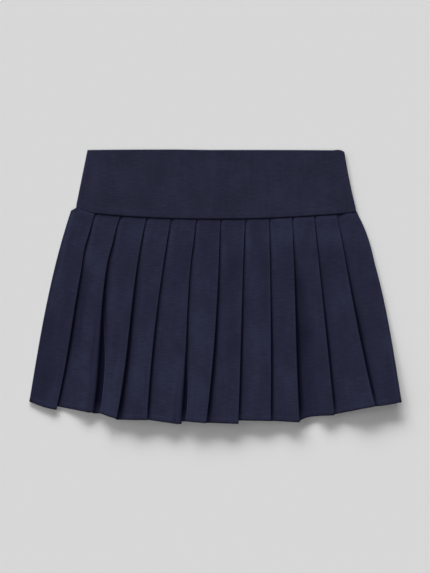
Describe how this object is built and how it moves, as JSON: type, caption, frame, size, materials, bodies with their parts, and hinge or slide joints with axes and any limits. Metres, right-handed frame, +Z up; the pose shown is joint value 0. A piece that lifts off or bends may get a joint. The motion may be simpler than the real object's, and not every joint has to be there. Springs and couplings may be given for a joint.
{
  "type": "pleated mini skirt",
  "caption": "Mini skirt laid flat: a plain shaped yoke over knife pleats that open towards a lifted, stepped hem.",
  "frame": {"origin": "middle of the skirt's outline, on the surface that the back lies on", "axes": "+X across the skirt to the right as the front is seen from above, +Y up the skirt to the waist, +Z up off the surface"},
  "size_m": [0.4966, 0.3672, 0.0131],
  "materials": {
    "yoke_cloth": "matt navy knit, doubled",
    "pleat_cloth": "matt navy knit, pressed into pleats"
  },
  "bodies": {
    "root": {"back_yoke": "yoke_cloth", "front_yoke": "yoke_cloth", "back_pleats": "pleat_cloth", "front_pleats": "pleat_cloth"}
  },
  "joints": []
}
